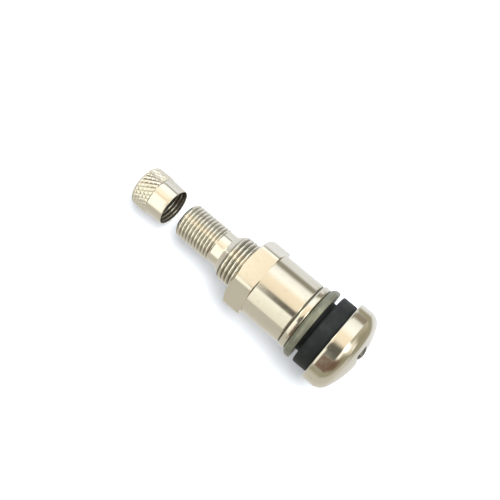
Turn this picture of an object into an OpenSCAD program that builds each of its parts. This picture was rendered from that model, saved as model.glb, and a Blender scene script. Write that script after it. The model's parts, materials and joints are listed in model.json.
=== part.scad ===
// Clamp-in tyre valve, lying on its side with its knurled cap taken off and set ahead of the tip.
// Every piece is turned about the valve's own axis. Heights along that axis count from the
// underside of the head towards the tip. laid() tips the axis over at the end, so that the rim of
// the head and the lowest flat of the nut touch the floor.

/* [Stem] */
// Diameter of the domed head
head_d = 18.1; // [17.5:0.1:21]
// Straight side of the head
head_side_h = 2.75; // [2:0.05:4]
// Height of the dome over the straight side
head_dome_h = 3.7; // [2.8:0.05:4.5]
// Turn of the surface where the side meets the dome, in degrees
head_edge_angle = 13; // [8:1:30]
// Radius of the dome's shoulder
head_shoulder_r = 3.2; // [2:0.1:4]
// Width of the driver slot across the dome
slot_w = 2.8; // [1.5:0.1:3]
// Depth of the driver slot
slot_depth = 0.9; // [0.5:0.05:1.5]
// Turn of the driver slot away from the nut's upper flat, in degrees
slot_turn = 7; // [-30:1:30]
// Diameter of the air hole through the head
air_d = 3; // [2:0.1:3.4]
// Diameter of the plain shank inside the grommet
shank_d = 8.4; // [7:0.1:9.6]
// Outside diameter of the large thread
stem_thread_d = 10.3; // [9.8:0.1:11]
// Height of the shoulder where the large thread ends
stem_thread_top = 26.5; // [24:0.1:32]
// Diameter at the end of the large thread's taper
stem_thread_end_d = 8.1; // [7.8:0.1:9.4]
// Length of the large thread's taper
stem_taper_h = 1.5; // [0.6:0.1:2.5]
// Diameter of the plain neck under the tip thread
tip_neck_d = 7.35; // [7:0.05:7.7]
// Length of the plain neck
tip_neck_h = 2.5; // [1.5:0.05:5]
// Outside diameter of the tip thread
tip_thread_d = 7.7; // [7.6:0.05:8.2]
// Length of the tip thread with its chamfer
tip_thread_h = 8.7; // [7:0.1:11]
// Chamfer at the tip
tip_chamfer = 0.6; // [0.2:0.05:0.8]

/* [Grommet] */
// Diameter of the rubber flange under the head
grommet_d = 15.7; // [14:0.1:17]
// Thickness of the rubber flange
grommet_flange_h = 3.4; // [2.5:0.1:4.5]
// Diameter of the rubber neck, which fills the hole in the rim
grommet_neck_d = 11.5; // [11.2:0.1:12.5]
// Gap left for the wall of the rim
rim_gap = 0.9; // [0.6:0.1:3]
// Rounding of the rubber flange's edges
grommet_round = 0.4; // [0.1:0.05:0.8]

/* [Washer] */
// Diameter of the washer
washer_d = 15.9; // [14.5:0.1:17]
// Thickness of the washer
washer_t = 1.75; // [1.2:0.05:2.5]
// Rounding of the washer's upper edge
washer_round = 1.1; // [0.2:0.05:1.2]

/* [Nut] */
// Diameter of the polished foot flange
nut_flange_d = 14.5; // [14.3:0.1:16]
// Thickness of the foot flange
nut_flange_h = 1.4; // [1:0.05:2]
// Width of the turned groove between flange and sleeve
nut_groove_w = 0.3; // [0.15:0.05:0.5]
// Depth of the turned groove under the sleeve
nut_groove_depth = 0.3; // [0.1:0.05:0.5]
// Diameter of the plain sleeve
nut_sleeve_d = 14.1; // [13.4:0.1:14.3]
// Length of the plain sleeve with its groove
nut_sleeve_h = 9.5; // [7:0.1:11]
// Width across the flats of the hexagon
hex_af = 14.2; // [14.1:0.1:15]
// Height of the hexagon
hex_h = 4.4; // [3.5:0.1:5]
// Angle of the chamfer on the hexagon's upper corners, in degrees
hex_chamfer_angle = 30; // [20:1:40]
// Angle of the smaller chamfer on the hexagon's lower corners, in degrees
hex_foot_angle = 3; // [1:1:20]
// Width of the flat that breaks each of the hexagon's long edges
hex_edge_w = 0.8; // [0.2:0.05:1.5]
// Depth of the threaded part of the nut's bore
nut_thread_h = 8.5; // [6:0.1:12]

/* [Cap] */
// Distance from the tip to the mouth of the cap
cap_gap = 3.6; // [1:0.1:6]
// Length of the cap
cap_h = 7.9; // [7.5:0.1:10]
// Outside diameter at the mouth
cap_mouth_d = 8.2; // [8.1:0.05:8.8]
// Outside diameter of the skirt next to the knurled band
cap_skirt_d = 8.6; // [8.4:0.05:8.8]
// Length of the smooth skirt
cap_skirt_h = 3.8; // [2.5:0.1:4.5]
// Diameter of the knurled band
cap_band_d = 8.9; // [8.8:0.05:9.6]
// Thickness of the closed end
cap_end_t = 0.9; // [0.6:0.05:1.5]
// Rounding of the closed end
cap_round = 0.7; // [0.3:0.05:1]
// Diameter of the sealing ring in the cap
cap_seal_d = 7.1; // [6:0.1:7.2]
// Thickness of the sealing ring
cap_seal_t = 0.8; // [0.5:0.05:1]
// Hole in the sealing ring
cap_seal_hole_d = 4.6; // [3:0.1:5]

/* [Core] */
// Diameter of the core's threaded plug
plug_d = 5.2; // [4.6:0.05:5.3]
// Length of the threaded plug
plug_h = 2.6; // [2:0.1:3.5]
// Width of the key bar on the plug
key_w = 2.2; // [1.8:0.1:3]
// Height of the key bar
key_h = 1.6; // [1:0.1:2]
// Depth of the key bar's top below the tip
key_depth = 1.2; // [0.9:0.1:2]
// Diameter of the hole through the plug
plug_hole_d = 2; // [1.6:0.1:2.4]
// Diameter of the barrel
barrel_d = 3.5; // [3.3:0.05:3.7]
// Length of the barrel under the plug
barrel_h = 6.8; // [6:0.1:9]
// Diameter of the spring chamber in the barrel
spring_room_d = 2.5; // [2.4:0.05:2.6]
// Hole through both ends of the barrel
barrel_hole_d = 1.7; // [1.5:0.05:1.8]
// Length of the barrel's swivel head inside the plug
swivel_h = 1.1; // [0.8:0.1:1.5]
// Length of the tapered seal round the barrel
barrel_seal_h = 1.9; // [1.2:0.1:2.5]
// Diameter of the tapered seal's wide end
barrel_seal_d = 4.7; // [4.3:0.1:4.9]
// Diameter of the bore under the seat, where the valve opens
chamber_d = 3.9; // [3.8:0.05:4.2]
// Diameter of the pin
pin_d = 1.1; // [0.9:0.05:1.2]
// Depth of the pin's end below the tip
pin_depth = 0.35; // [0.3:0.05:0.8]
// Travel of the pin when it is pressed
pin_travel = 1.2; // [0.6:0.1:1.4]
// Diameter of the pin's collar that holds the spring
pin_collar_d = 2; // [1.8:0.05:2.2]
// Diameter of the cup under the barrel
cup_d = 3.2; // [2.8:0.1:3.3]
// Height of the cup
cup_h = 1.5; // [1.2:0.1:2.5]
// Diameter of the spring's wire
wire_d = 0.3; // [0.2:0.02:0.3]
// Mean diameter of the spring's coils
coil_d = 1.9; // [1.8:0.02:2]
// Turns of the spring, the two closed end turns included
coil_turns = 6; // [5:1:7]

/* [Fits] */
// Radial clearance of screwed and sliding pieces
run_gap = 0.05; // [0.03:0.01:0.08]
// Gap between faces that seat on each other and turn
face_gap = 0.02; // [0.01:0.01:0.05]

/* [Hidden] */
$fn = 96;

// Overlap that joins two shapes, or carries a cut past a face
lap = 0.1;

// Heights of the outer pieces
washer_z = grommet_flange_h + rim_gap + face_gap;
nut_z = washer_z + washer_t + face_gap;
hex_z = nut_z + nut_flange_h + nut_sleeve_h;
nut_top = hex_z + hex_h;
thread_z = washer_z + washer_t / 2;
tip_thread_z = stem_thread_top + tip_neck_h;
tip_z = tip_thread_z + tip_thread_h;
cap_z = tip_z + cap_gap;
cap_top = cap_z + cap_h;
head_end = head_side_h + head_dome_h;
// Height at which the cap's threaded bore narrows to the room of its sealing ring
seal_room_z = cap_top - cap_end_t - 2 * face_gap - cap_seal_t;

// Radii shared by pieces that fit each other
stem_thread_r = stem_thread_d / 2;
nut_bore_r = stem_thread_r + run_gap;
washer_bore_r = stem_thread_r + 2 * run_gap;
cap_bore_r = tip_thread_d / 2 + run_gap;
plug_bore_r = plug_d / 2 + run_gap;
hex_corner_r = hex_af / 2 / cos(30);
hex_edge_r = hex_corner_r - hex_edge_w / 2 * tan(30);

// Heights of the core's pieces, from the tip downwards
key_top = tip_z - key_depth;
plug_top = key_top - key_h;
plug_z = plug_top - plug_h;
barrel_top = plug_z - face_gap;
barrel_z = barrel_top - barrel_h;
barrel_wall = (barrel_d - spring_room_d) / 2;
// Collar of the barrel over its tapered seal
seal_collar_h = 0.6;
seal_top = barrel_top - seal_collar_h;
seal_z = seal_top - barrel_seal_h;
seal_groove_r = spring_room_d / 2 + barrel_wall / 2;
seal_foot_r = chamber_d / 2;
// Width of the swivel head's ledge in the plug
swivel_ledge = 0.7;
swivel_r = plug_hole_d / 2 + swivel_ledge;
// Ends of the barrel over and under the spring chamber
barrel_roof_t = 0.4;
barrel_floor_t = 0.8;
spring_room_top = barrel_top - barrel_roof_t;
spring_room_z = barrel_z + barrel_floor_t;
pin_top = tip_z - pin_depth;
pin_collar_h = 0.4;
pin_collar_z = spring_room_top - face_gap - pin_collar_h;
spring_top = pin_collar_z - face_gap;
spring_z = spring_room_z + face_gap;
cup_wall = 0.3;
cup_z = barrel_z - face_gap - cup_h;
pin_foot_h = 0.5;
pin_foot = cup_z - pin_foot_h;
// Room left under the pin's foot when it is pressed in
chamber_room = 1;
chamber_z = pin_foot - pin_travel - chamber_room;

// Tilt at which a piece first meets the floor while the head's rim rests on it
rest_edges = [
    [nut_top, hex_af / 2],
    [hex_z, nut_sleeve_d / 2],
    [washer_z + washer_t - washer_round, washer_d / 2],
    [nut_z + nut_flange_h, nut_flange_d / 2],
    [cap_top - cap_round, cap_band_d / 2]
];
tilt = min([for (e = rest_edges) atan((head_d / 2 - e[1]) / e[0])]);
// Shift that puts the origin under the middle of the whole length
reach_back = head_end * cos(tilt);
reach_tip = cap_top * cos(tilt) + (cap_band_d / 2 - cap_round) * sin(tilt);
laid_x = (reach_tip - reach_back) / 2;
laid_z = head_d / 2 * cos(tilt);

nickel = "#d8cfb9";
satin_steel = "#8c8d7c";
black_rubber = "#2a2b29";
core_brass = "#c9a85a";
seal_red = "#b5443a";
spring_steel = "#b9bcc0";

// Lays the valve's axis down, with the tip towards -X and the nut's upper flat uppermost.
module laid() {
    translate([laid_x, 0, laid_z])
        rotate([0, -(90 + tilt), 0])
            children();
}

// Straight tube between two heights.
module tube(r_in, r_out, z, h) {
    rotate_extrude()
        translate([r_in, z])
            square([r_out - r_in, h]);
}

// Solid of revolution from the half-section given as [radius, height] points.
module turned(points) {
    rotate_extrude()
        polygon(points);
}

// Half-section of a ring whose outer corners at the foot and at the top are rounded.
module ring_section(r_in, r_out, h, foot_round, top_round) {
    translate([r_in, foot_round])
        square([r_out - r_in, h - foot_round - top_round]);
    translate([r_in, 0])
        square([r_out - r_in - max(foot_round, top_round), h]);
    if (foot_round > 0)
        translate([r_out - foot_round, foot_round]) circle(foot_round);
    if (top_round > 0)
        translate([r_out - top_round, h - top_round]) circle(top_round);
}

// Half-section of the head, with its end at the top: a straight side, an edge, a shoulder arc and
// a crown arc that runs on from the shoulder without a corner.
module head_section() {
    r = head_d / 2;
    shoulder = [r - head_shoulder_r * cos(head_edge_angle),
                head_side_h - head_shoulder_r * sin(head_edge_angle)];
    rise = head_end - shoulder[1];
    crown_r = (shoulder[0] * shoulder[0] + rise * rise - head_shoulder_r * head_shoulder_r)
              / (2 * (rise - head_shoulder_r));
    crown_z = head_end - crown_r;
    lean = atan(shoulder[0] / (shoulder[1] - crown_z));
    meet = [crown_r * sin(lean), crown_z + crown_r * cos(lean)];
    polygon([[0, 0], [r, 0], [r, head_side_h], shoulder, meet, [0, crown_z + crown_r * cos(lean)]]);
    intersection() {
        translate(shoulder) circle(head_shoulder_r);
        polygon([shoulder, [r, head_side_h], [r, head_end], [meet[0], head_end], meet]);
    }
    intersection() {
        translate([0, crown_z]) circle(crown_r);
        translate([0, meet[1] - lap]) square([meet[0], crown_r]);
    }
}

module head() {
    mirror([0, 0, 1])
        rotate_extrude()
            head_section();
}

module stem_body() {
    turned([
        [0, -lap],
        [shank_d / 2, -lap],
        [shank_d / 2, thread_z - (stem_thread_d - shank_d) / 2],
        [stem_thread_r, thread_z],
        [stem_thread_r, stem_thread_top - stem_taper_h],
        [stem_thread_end_d / 2, stem_thread_top],
        [tip_neck_d / 2, stem_thread_top],
        [tip_neck_d / 2, tip_thread_z],
        [tip_thread_d / 2, tip_thread_z],
        [tip_thread_d / 2, tip_z - tip_chamfer],
        [tip_thread_d / 2 - tip_chamfer, tip_z],
        [0, tip_z]
    ]);
}

// Bore of the stem: the threaded mouth, the tapered seat, the chamber and the air hole.
module stem_bore() {
    mouth_chamfer = 0.3;
    seat_r = barrel_seal_d / 2 + face_gap;
    turned([
        [0, -head_end - lap],
        [air_d / 2, -head_end - lap],
        [air_d / 2, chamber_z - (chamber_d - air_d) / 2],
        [chamber_d / 2, chamber_z],
        [seal_foot_r + face_gap, seal_z],
        [seat_r, seal_top],
        [plug_bore_r, seal_top + (plug_bore_r - seat_r)],
        [plug_bore_r, tip_z - mouth_chamfer],
        [plug_bore_r + mouth_chamfer, tip_z],
        [plug_bore_r + mouth_chamfer, tip_z + lap],
        [0, tip_z + lap]
    ]);
}

module driver_slot() {
    rotate([0, 0, slot_turn])
        translate([-head_d / 2, -slot_w / 2, -head_end - lap])
            cube([head_d, slot_w, slot_depth + lap]);
}

module valve_stem() {
    color(nickel) laid() difference() {
        union() {
            head();
            stem_body();
        }
        stem_bore();
        driver_slot();
    }
}

module rubber_grommet() {
    bore_r = shank_d / 2 + face_gap;
    color(black_rubber) laid() {
        translate([0, 0, face_gap])
            rotate_extrude()
                ring_section(bore_r, grommet_d / 2, grommet_flange_h - face_gap,
                             grommet_round, grommet_round);
        tube(bore_r, grommet_neck_d / 2, grommet_flange_h - lap, rim_gap + lap);
    }
}

module washer() {
    color(satin_steel) laid()
        translate([0, 0, washer_z])
            rotate_extrude()
                ring_section(washer_bore_r, washer_d / 2, washer_t, 0, washer_round);
}

// Hexagon with a flat facing straight up, its long edges broken by narrow flats and its corners
// chamfered by a cone at each end.
module hexagon() {
    foot_drop = (hex_corner_r - hex_af / 2) * tan(hex_foot_angle);
    top_drop = (hex_corner_r - hex_af / 2) * tan(hex_chamfer_angle);
    intersection() {
        translate([0, 0, hex_z])
            rotate([0, 0, 30])
                cylinder(r = hex_corner_r, h = hex_h, $fn = 6);
        translate([0, 0, hex_z])
            cylinder(r = hex_edge_r / cos(30), h = hex_h, $fn = 6);
        turned([
            [0, hex_z],
            [hex_af / 2, hex_z],
            [hex_corner_r, hex_z + foot_drop],
            [hex_corner_r, nut_top - top_drop],
            [hex_af / 2, nut_top],
            [0, nut_top]
        ]);
    }
}

module sleeve_nut() {
    flange_top = nut_z + nut_flange_h;
    groove_r = nut_sleeve_d / 2 - nut_groove_depth;
    edge = 0.2;
    mouth_chamfer = 0.5;
    relief = 0.2;
    color(nickel) laid() difference() {
        union() {
            turned([
                [0, nut_z],
                [nut_flange_d / 2, nut_z],
                [nut_flange_d / 2, flange_top - edge],
                [nut_flange_d / 2 - edge, flange_top],
                [groove_r, flange_top],
                [groove_r, flange_top + nut_groove_w],
                [nut_sleeve_d / 2, flange_top + nut_groove_w],
                [nut_sleeve_d / 2, hex_z + lap],
                [0, hex_z + lap]
            ]);
            hexagon();
        }
        turned([
            [0, nut_z - lap],
            [nut_bore_r + relief, nut_z - lap],
            [nut_bore_r + relief, nut_top - nut_thread_h - relief],
            [nut_bore_r, nut_top - nut_thread_h],
            [nut_bore_r, nut_top - mouth_chamfer],
            [nut_bore_r + mouth_chamfer, nut_top],
            [nut_bore_r + mouth_chamfer, nut_top + lap],
            [0, nut_top + lap]
        ]);
    }
}

// Cap with its mouth towards the valve's tip.
module cap_shell() {
    band_z = cap_z + cap_skirt_h;
    band_edge = (cap_band_d - cap_skirt_d) / 2;
    mouth_edge = 0.12;
    color(nickel) laid() difference() {
        union() {
            turned([
                [0, cap_z],
                [cap_mouth_d / 2 - mouth_edge, cap_z],
                [cap_mouth_d / 2, cap_z + mouth_edge],
                [cap_skirt_d / 2, band_z],
                [cap_skirt_d / 2, band_z + band_edge + lap],
                [0, band_z + band_edge + lap]
            ]);
            translate([0, 0, band_z])
                rotate_extrude()
                    ring_section(0, cap_band_d / 2, cap_h - cap_skirt_h, band_edge, cap_round);
        }
        tube(0, cap_bore_r, cap_z - lap, seal_room_z - cap_z + lap);
        tube(0, cap_seal_d / 2 + run_gap, cap_z, cap_h - cap_end_t);
    }
}

module cap_seal() {
    color(black_rubber) laid()
        tube(cap_seal_hole_d / 2, cap_seal_d / 2,
             cap_top - cap_end_t - face_gap - cap_seal_t, cap_seal_t);
}

// Threaded plug with the flat key bar on top and a pocket for the barrel's head below.
module core_plug() {
    key_inset = 0.2;
    key_r = plug_d / 2 - key_inset;
    lead = 0.3;
    color(core_brass) laid() difference() {
        union() {
            turned([
                [0, plug_z],
                [plug_d / 2 - lead, plug_z],
                [plug_d / 2, plug_z + lead],
                [plug_d / 2, plug_top - lead],
                [plug_d / 2 - lead, plug_top],
                [0, plug_top]
            ]);
            intersection() {
                translate([0, 0, plug_top - lap]) cylinder(r = key_r, h = key_h + lap);
                translate([-key_r, -key_w / 2, plug_top - lap]) cube([2 * key_r, key_w, key_h + lap]);
            }
        }
        translate([0, 0, plug_z - lap])
            cylinder(d = plug_hole_d - 2 * run_gap, h = plug_h + key_h + 2 * lap);
        translate([0, 0, plug_z - lap])
            cylinder(r = swivel_r + run_gap, h = swivel_h + face_gap + lap);
    }
}

// Tube that carries the tapered seal outside and the spring inside.
module core_barrel() {
    color(core_brass) laid() difference() {
        turned([
            [0, barrel_z],
            [barrel_d / 2, barrel_z],
            [barrel_d / 2, seal_z - face_gap],
            [seal_groove_r, seal_z - face_gap],
            [seal_groove_r, seal_top + face_gap],
            [barrel_d / 2, seal_top + face_gap],
            [barrel_d / 2, barrel_top],
            [swivel_r, barrel_top],
            [swivel_r, plug_z + swivel_h - face_gap],
            [0, plug_z + swivel_h - face_gap]
        ]);
        tube(0, barrel_hole_d / 2, barrel_z - lap, barrel_h + swivel_h + 2 * lap);
        tube(0, spring_room_d / 2, spring_room_z, spring_room_top - spring_room_z);
    }
}

module barrel_seal() {
    bore_r = seal_groove_r + face_gap;
    color(seal_red) laid() turned([
        [bore_r, seal_z],
        [seal_foot_r, seal_z],
        [barrel_seal_d / 2, seal_top],
        [bore_r, seal_top]
    ]);
}

// Pin with a flat button at the tip, a collar over the spring and a riveted foot under the cup.
module core_pin() {
    button_r = plug_hole_d / 2 - 4 * run_gap;
    button_h = 0.5;
    foot_flare = 0.3;
    foot_r = pin_d / 2 + foot_flare;
    color(core_brass) laid() {
        turned([
            [0, pin_foot],
            [foot_r, pin_foot],
            [foot_r, cup_z - face_gap],
            [pin_d / 2, cup_z - face_gap],
            [pin_d / 2, pin_collar_z],
            [pin_collar_d / 2, pin_collar_z],
            [pin_collar_d / 2, pin_collar_z + pin_collar_h],
            [pin_d / 2, pin_collar_z + pin_collar_h],
            [pin_d / 2, pin_top - button_h],
            [button_r, pin_top - button_h / 2],
            [button_r, pin_top],
            [0, pin_top]
        ]);
    }
}

// Height of the spring's wire after a number of turns, with one closed turn at each end.
closed_rise = 1.1;
function coil_z(t) =
    let (low = spring_z + wire_d / 2, high = spring_top - wire_d / 2, closed = wire_d * closed_rise)
    t < 1 ? low + closed * t
    : t > coil_turns - 1 ? high - closed * (coil_turns - t)
    : low + closed + (high - low - 2 * closed) * (t - 1) / (coil_turns - 2);

// Wire swept along the coil, as rings of points joined to a closed tube.
module core_spring() {
    sides = 8;
    steps = 14 * coil_turns;
    rings = [for (i = [0 : steps])
        let (t = i * coil_turns / steps, turn = 360 * t)
        [for (j = [0 : sides - 1])
            let (a = 360 * j / sides, r = coil_d / 2 + wire_d / 2 * cos(a))
            [r * cos(turn), r * sin(turn), coil_z(t) + wire_d / 2 * sin(a)]]];
    points = [for (ring = rings) each ring];
    walls = [for (i = [0 : steps - 1], j = [0 : sides - 1])
        let (k = (j + 1) % sides)
        [i * sides + j, (i + 1) * sides + j, (i + 1) * sides + k, i * sides + k]];
    ends = [[for (j = [0 : sides - 1]) j],
            [for (j = [sides - 1 : -1 : 0]) steps * sides + j]];
    color(spring_steel) laid()
        polyhedron(points, concat(walls, ends), convexity = 8);
}

module poppet_cup() {
    color(core_brass) laid() difference() {
        tube(0, cup_d / 2, cup_z, cup_h);
        tube(0, pin_d / 2 + face_gap, cup_z - lap, cup_h + 2 * lap);
        tube(0, cup_d / 2 - cup_wall, cup_z + cup_wall, cup_h);
    }
}

// Rubber washer in the cup, which closes the barrel's lower end.
module poppet_seal() {
    color(black_rubber) laid()
        tube(pin_d / 2 + face_gap, cup_d / 2 - cup_wall - face_gap,
             cup_z + cup_wall + face_gap, cup_h - cup_wall - face_gap);
}

valve_stem();
rubber_grommet();
washer();
sleeve_nut();
cap_shell();
cap_seal();
core_plug();
core_barrel();
barrel_seal();
core_pin();
core_spring();
poppet_cup();
poppet_seal();
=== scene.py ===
import json
import math

import bmesh
import bpy
import numpy as np
from bpy.props import FloatProperty, FloatVectorProperty, IntProperty, PointerProperty
from mathutils import Matrix, Vector


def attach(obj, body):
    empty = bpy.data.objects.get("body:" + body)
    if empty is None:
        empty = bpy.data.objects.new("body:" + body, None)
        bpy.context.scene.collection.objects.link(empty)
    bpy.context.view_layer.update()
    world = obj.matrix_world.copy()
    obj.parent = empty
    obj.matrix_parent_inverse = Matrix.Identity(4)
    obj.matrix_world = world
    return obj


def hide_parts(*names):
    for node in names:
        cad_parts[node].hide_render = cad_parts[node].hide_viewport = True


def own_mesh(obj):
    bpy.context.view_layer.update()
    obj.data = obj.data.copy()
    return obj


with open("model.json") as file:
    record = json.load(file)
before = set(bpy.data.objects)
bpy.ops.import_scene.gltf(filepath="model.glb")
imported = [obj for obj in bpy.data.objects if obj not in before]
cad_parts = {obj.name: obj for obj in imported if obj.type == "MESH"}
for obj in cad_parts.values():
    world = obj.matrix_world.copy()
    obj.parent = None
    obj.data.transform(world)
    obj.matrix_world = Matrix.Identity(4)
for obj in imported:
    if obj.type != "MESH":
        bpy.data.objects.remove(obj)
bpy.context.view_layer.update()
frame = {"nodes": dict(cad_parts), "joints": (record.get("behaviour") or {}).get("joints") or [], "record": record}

bl_info = {
    "name": "Tyre valve looks",
    "version": (1, 0, 0),
    "blender": (4, 5, 0),
    "location": "View3D > Sidebar > Tyre valve",
    "description": "Threads, knurling, plating, rubber and studio for a clamp-in tyre valve",
    "category": "Object",
}

MM = 0.001
TURN = 2.0 * math.pi
# Width of the camera's sensor, in millimetres.
SENSOR = 36.0

# How finely pieces are drawn: columns round the axis, rows of points to a thread's pitch, and the angle
# in degrees past which an edge stays sharp.
COLUMNS = 120
ROWS_PER_PITCH = 15.0
SHARP = 30.0
# Short steps beside an edge: the first keeps two rows of points apart, the second holds a face's direction.
LAP = 0.02 * MM
HOLD = 0.1 * MM
# Length over which a thread in a bore reaches its full depth.
BORE_RUN_IN = 0.5 * MM

# The valve's own frame: its axis points from the head to the tip, UP is square to it and faces the
# nut's upper flat, and HEAD_CENTRE is the middle of the head's underside. Heights count from there.
TIP_MOUNT = next(m for m in frame["record"]["mounts"] if m["name"] == "tip_thread")
AXIS = np.array(TIP_MOUNT["axis"], float)
UP = np.array([AXIS[2], 0.0, -AXIS[0]])
SIDE = np.array([0.0, 1.0, 0.0])
RIM_SEAT = next(m for m in frame["record"]["mounts"] if m["name"] == "rim_seat")
RIM_SEAT_HEIGHT = 3.85 * MM
HEAD_CENTRE = np.array(RIM_SEAT["pos_m"], float) - AXIS * RIM_SEAT_HEIGHT


# Sizes and colours that a user would change


def length(name, millimetres, description):
    """A property that holds a length in metres, with its default given in millimetres."""
    return FloatProperty(
        name=name, description=description, default=millimetres * MM, min=0.0, unit="LENGTH", precision=5
    )


def angle(name, degrees, description):
    """A property that holds an angle, with its default given in degrees."""
    return FloatProperty(name=name, description=description, default=math.radians(degrees), unit="ROTATION")


def number(name, default, description):
    """A property that holds a plain number."""
    return FloatProperty(name=name, description=description, default=default)


def colour(name, default, description):
    """A property that holds a linear colour."""
    return FloatVectorProperty(
        name=name, description=description, default=default, size=3, min=0.0, max=4.0, subtype="COLOR"
    )


class StemSizes(bpy.types.PropertyGroup):
    """Sizes of the stem and its head."""

    head_radius: length("Head radius", 9.05, "Radius of the head")
    head_side: length("Head side", 2.75, "Straight side of the head")
    head_dome: length("Head dome", 3.7, "Height of the dome over the straight side")
    head_edge: angle("Head edge", 13.0, "Turn of the surface where the side meets the dome")
    shoulder: length("Shoulder radius", 3.2, "Radius of the dome's shoulder")
    rim_round: length("Rim rounding", 0.18, "Rounding of the head's lower rim")
    slot_width: length("Slot width", 2.8, "Width of the driver slot")
    slot_depth: length("Slot depth", 0.9, "Depth of the driver slot")
    slot_turn: angle("Slot turn", 7.0, "Turn of the slot away from the nut's upper flat")
    air_radius: length("Air hole radius", 1.5, "Radius of the air hole")
    shank_radius: length("Shank radius", 4.2, "Radius of the plain shank in the grommet")
    thread_radius: length("Thread radius", 5.15, "Outside radius of the large thread")
    thread_start: length("Thread start", 5.195, "Height at which the large thread is full")
    thread_top: length("Thread top", 26.5, "Height of the shoulder over the large thread")
    thread_end_radius: length("Thread end radius", 4.05, "Radius where the large thread's taper ends")
    thread_taper: length("Thread taper", 1.5, "Length of the large thread's taper")
    thread_pitch: length("Thread pitch", 0.907, "Pitch of the large thread")
    thread_depth: length("Thread depth", 0.36, "Depth of the large thread")
    neck_radius: length("Neck radius", 3.675, "Radius of the plain neck")
    tip_start: length("Tip thread start", 29.0, "Height at which the tip thread begins")
    tip_radius: length("Tip radius", 3.85, "Outside radius of the tip thread")
    tip_top: length("Tip top", 37.7, "Height of the tip")
    tip_pitch: length("Tip pitch", 0.794, "Pitch of the tip thread")
    tip_depth: length("Tip thread depth", 0.32, "Depth of the tip thread")
    tip_chamfer: length("Tip chamfer", 0.6, "Chamfer at the tip")
    bore_radius: length("Bore radius", 2.65, "Radius of the threaded mouth")
    bore_pitch: length("Bore pitch", 0.7056, "Pitch of the thread in the mouth")
    bore_depth: length("Bore thread depth", 0.22, "Depth of the thread in the mouth")
    seat_top: length("Seat top", 31.68, "Height of the wide end of the tapered seat")
    seat_radius: length("Seat radius", 2.37, "Radius at the wide end of the seat")
    chamber_top: length("Chamber top", 29.78, "Height at which the chamber begins")
    chamber_radius: length("Chamber radius", 1.97, "Radius of the chamber")
    chamber_foot: length("Chamber foot", 21.26, "Height at which the chamber ends")


class GrommetSizes(bpy.types.PropertyGroup):
    """Sizes of the rubber grommet and the washer on it."""

    bore_radius: length("Grommet bore", 4.22, "Radius of the grommet's bore")
    flange_radius: length("Flange radius", 7.85, "Radius of the rubber flange")
    flange_foot: length("Flange foot", 0.02, "Height of the flange's lower face")
    flange_top: length("Flange top", 3.4, "Height of the flange's upper face")
    neck_radius: length("Neck radius", 5.75, "Radius of the rubber neck")
    neck_top: length("Neck top", 4.3, "Height of the neck's upper end")
    edge_round: length("Edge rounding", 0.4, "Rounding of the flange's edges")
    washer_foot: length("Washer foot", 4.32, "Height of the washer's lower face")
    washer_top: length("Washer top", 6.07, "Height of the washer's upper face")
    washer_radius: length("Washer radius", 7.95, "Radius of the washer")
    washer_bore: length("Washer bore", 5.25, "Radius of the washer's bore")
    washer_round: length("Washer rounding", 1.1, "Rounding of the washer's upper edge")
    washer_edge: length("Washer edge", 0.12, "Rounding of the washer's lower edge")


class NutSizes(bpy.types.PropertyGroup):
    """Sizes of the sleeve nut."""

    foot: length("Foot", 6.09, "Height of the nut's lower face")
    flange_radius: length("Flange radius", 7.25, "Radius of the foot flange")
    flange_top: length("Flange top", 7.49, "Height of the foot flange's upper face")
    groove_width: length("Groove width", 0.3, "Width of the turned groove")
    groove_depth: length("Groove depth", 0.3, "Depth of the turned groove under the sleeve")
    sleeve_radius: length("Sleeve radius", 7.05, "Radius of the plain sleeve")
    hex_foot: length("Hexagon foot", 16.99, "Height at which the hexagon begins")
    hex_top: length("Hexagon top", 21.39, "Height of the hexagon's upper face")
    hex_apothem: length("Hexagon apothem", 7.1, "Half the width across the flats")
    hex_round: length("Hexagon rounding", 1.49, "Rounding of the hexagon's long edges")
    chamfer: angle("Upper chamfer", 30.0, "Angle of the chamfer on the upper corners")
    foot_chamfer: angle("Lower chamfer", 3.0, "Angle of the chamfer on the lower corners")
    bore_radius: length("Bore radius", 5.2, "Radius of the nut's threaded bore")
    thread_depth: length("Thread depth", 0.2, "Depth of the thread's grooves in the bore")
    thread_length: length("Thread length", 8.0, "Distance from the upper face to the thread's lower end")
    mouth: length("Mouth chamfer", 0.5, "Chamfer at the bore's upper end")
    edge: length("Edge", 0.12, "Rounding of the turned edges")
    foot_edge: length("Foot edge", 0.28, "Rounding of the flange's edge on the washer")


class CapSizes(bpy.types.PropertyGroup):
    """Sizes of the knurled cap."""

    mouth_height: length("Mouth", 41.3, "Height of the cap's mouth where it lies")
    mouth_radius: length("Mouth radius", 4.1, "Outside radius at the mouth")
    skirt_radius: length("Skirt radius", 4.3, "Outside radius of the skirt next to the band")
    band_foot: length("Band foot", 45.1, "Height at which the knurled band begins")
    band_radius: length("Band radius", 4.45, "Radius over the knurling")
    top: length("Top", 49.2, "Height of the closed end")
    end_round: length("End rounding", 0.7, "Rounding of the closed end")
    end_wall: length("End wall", 0.9, "Thickness of the closed end")
    bore_radius: length("Bore radius", 3.9, "Radius of the bore over the thread's tips")
    seal_room: length("Seal room", 47.46, "Height at which the bore narrows to the room of the sealing ring")
    seal_radius: length("Seal room radius", 3.6, "Radius of that room")
    bore_depth: length("Thread relief", 0.1, "Depth of the thread's grooves in the bore")
    knurl_depth: length("Knurl depth", 0.2, "Depth of the knurling")
    knurl_angle: angle("Knurl angle", 32.0, "Angle between the knurling and the axis")
    knurl_count: IntProperty(name="Knurl count", description="Teeth round the band", default=30, min=8)


class SpringSizes(bpy.types.PropertyGroup):
    """Sizes of the core's spring."""

    wire_radius: length("Wire radius", 0.15, "Radius of the spring's wire")
    coil_radius: length("Coil radius", 0.95, "Mean radius of the coils")
    turns: IntProperty(
        name="Turns", description="Turns of the spring, closed ends included", default=6, min=3
    )


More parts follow.
